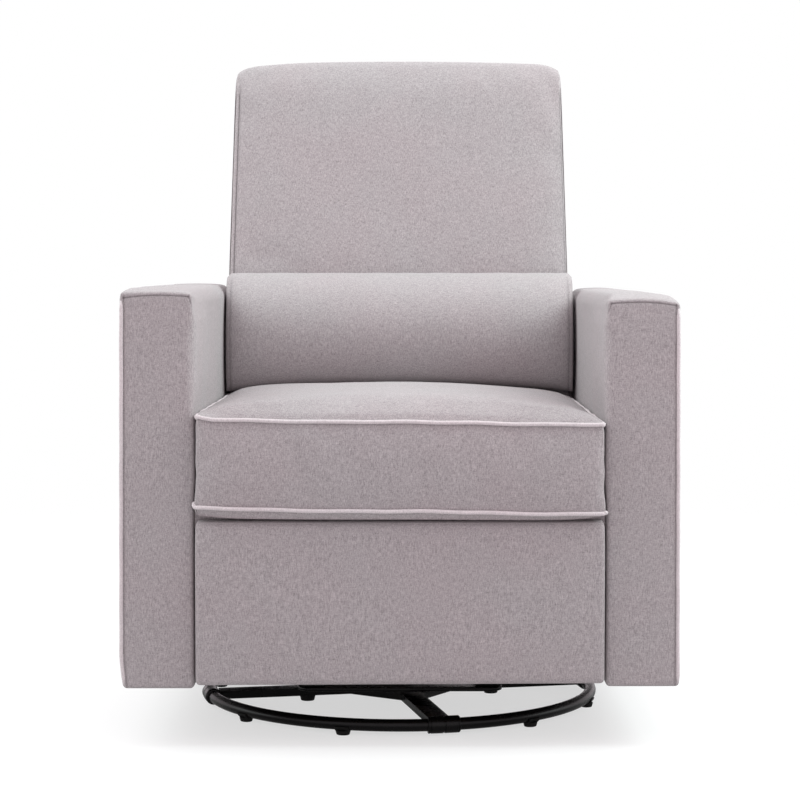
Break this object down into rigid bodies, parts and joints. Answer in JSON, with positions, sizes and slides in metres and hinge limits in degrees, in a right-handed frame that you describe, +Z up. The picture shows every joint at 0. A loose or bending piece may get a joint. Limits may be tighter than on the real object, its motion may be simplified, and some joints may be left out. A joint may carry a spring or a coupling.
{
  "type": "glider nursery chair",
  "caption": "Upholstered nursery recliner with track arms, a lumbar pillow, a fold-out footrest and a black steel ring base that swivels and glides.",
  "frame": {"origin": "on the floor, at the middle of the chair's width and depth", "axes": "+Z up, the chair faces -Y, +X towards the chair's right side as seen from the front"},
  "size_m": [0.78, 0.8599, 1.0215],
  "materials": {
    "upholstery": "heather grey woven polyester with a pinkish cast",
    "black_steel": "satin black powder coat",
    "zinc_steel": "zinc plated",
    "timber": "plain sawn softwood",
    "black_plastic": "matt moulded",
    "webbing": "plain black weave"
  },
  "bodies": {
    "chair": {"arm_facing_left": "upholstery", "arm_facing_right": "upholstery", "arm_left": "upholstery", "arm_right": "upholstery", "back_bracket_left": "black_steel", "back_bracket_right": "black_steel", "footrest_bracket_left": "black_steel", "footrest_bracket_right": "black_steel", "glide_frame": "black_steel", "rear_panel": "upholstery", "seat_cushion": "upholstery", "seat_deck": "webbing", "seat_frame": "timber"},
    "back": {"back_frame": "timber", "back_hinge_left": "zinc_steel", "back_hinge_right": "zinc_steel", "back_pad": "upholstery", "back_shell": "upholstery", "lumbar_pillow": "upholstery"},
    "base": {"bar_foot_left": "black_plastic", "bar_foot_right": "black_plastic", "base_ring": "black_steel", "bearing_lower": "zinc_steel", "ring_foot_1": "black_plastic", "ring_foot_2": "black_plastic", "ring_foot_3": "black_plastic", "ring_foot_4": "black_plastic", "ring_foot_5": "black_plastic", "ring_foot_6": "black_plastic", "ring_foot_7": "black_plastic", "ring_foot_8": "black_plastic", "ring_sleeve_front": "black_steel", "ring_sleeve_left": "black_steel", "ring_sleeve_rear": "black_steel", "ring_sleeve_right": "black_steel", "spider": "black_steel"},
    "turntable": {"bearing_upper": "zinc_steel", "centre_bolt": "zinc_steel", "glide_bracket_left": "black_steel", "glide_bracket_right": "black_steel", "glide_tie": "black_steel", "turntable_plate": "black_steel"},
    "footboard": {"board_bracket_left": "black_steel", "board_bracket_right": "black_steel", "footboard_core": "timber", "footrest_pad": "upholstery"},
    "foot_a": {"foot_bar_a_left": "zinc_steel", "foot_bar_a_right": "zinc_steel", "torque_tube": "black_steel"},
    "foot_b": {"foot_bar_b_left": "zinc_steel", "foot_bar_b_right": "zinc_steel"},
    "foot_cross_a": {"foot_cross_a_left": "zinc_steel", "foot_cross_a_right": "zinc_steel"},
    "foot_cross_b": {"foot_cross_b_left": "zinc_steel", "foot_cross_b_right": "zinc_steel"},
    "link_front": {"glide_link_front_left": "zinc_steel", "glide_link_front_right": "zinc_steel"},
    "link_rear": {"glide_link_rear_left": "zinc_steel", "glide_link_rear_right": "zinc_steel"},
    "pull_tab": {"pull_tab": "webbing"}
  },
  "joints": [
    {"name": "swivel", "type": "hinge", "parent": "base", "child": "turntable", "pos_m": [0, -0.035, 0.0364], "axis": [0, 0, 1], "continuous": true},
    {"name": "glide", "type": "hinge", "parent": "turntable", "child": "link_front", "pos_m": [0, -0.145, 0.235], "axis": [1, 0, 0], "range_deg": [-18, 18]},
    {"name": "glide_rear", "type": "hinge", "parent": "turntable", "child": "link_rear", "pos_m": [0, 0.075, 0.235], "axis": [1, 0, 0], "range_deg": [-18.5, 18.5]},
    {"name": "chair_hang", "type": "hinge", "parent": "link_front", "child": "chair", "pos_m": [0, -0.145, 0.105], "axis": [1, 0, 0], "range_deg": [-18.5, 18.5]},
    {"name": "back_recline", "type": "hinge", "parent": "chair", "child": "back", "pos_m": [0, 0.268, 0.328], "axis": [-1, 0, 0], "range_deg": [0, 32]},
    {"name": "footrest_extend", "type": "hinge", "parent": "chair", "child": "foot_a", "pos_m": [0, -0.3286, 0.2746], "axis": [-1, 0, 0], "range_deg": [0, 117.2]},
    {"name": "foot_elbow", "type": "hinge", "parent": "foot_a", "child": "foot_b", "pos_m": [0, -0.25924, 0.16007], "axis": [-1, 0, 0], "range_deg": [-115.5, 0.5]},
    {"name": "foot_cross_low", "type": "hinge", "parent": "foot_a", "child": "foot_cross_b", "pos_m": [0, -0.29392, 0.21733], "axis": [-1, 0, 0], "range_deg": [-115.5, 0.5]},
    {"name": "foot_cross_high", "type": "hinge", "parent": "foot_b", "child": "foot_cross_a", "pos_m": [0, -0.30699, 0.20699], "axis": [-1, 0, 0], "range_deg": [-0.5, 115.5]},
    {"name": "footboard_turn", "type": "hinge", "parent": "foot_b", "child": "footboard", "pos_m": [0, -0.35474, 0.25392], "axis": [-1, 0, 0], "range_deg": [-0.5, 88.5]},
    {"name": "tab_pull", "type": "slide", "parent": "chair", "child": "pull_tab", "axis": [0, 0, 1], "range_m": [0, 0.02], "stiffness_N_per_m": 150}
  ],
  "couplings": [
    {"joint": "glide_rear", "follows": "glide", "ratio": 1},
    {"joint": "chair_hang", "follows": "glide", "ratio": -1},
    {"joint": "foot_elbow", "follows": "footrest_extend", "ratio": -0.97611},
    {"joint": "foot_cross_low", "follows": "footrest_extend", "ratio": -0.97611},
    {"joint": "foot_cross_high", "follows": "footrest_extend", "ratio": 0.97611},
    {"joint": "footboard_turn", "follows": "footrest_extend", "ratio": 0.74403}
  ]
}
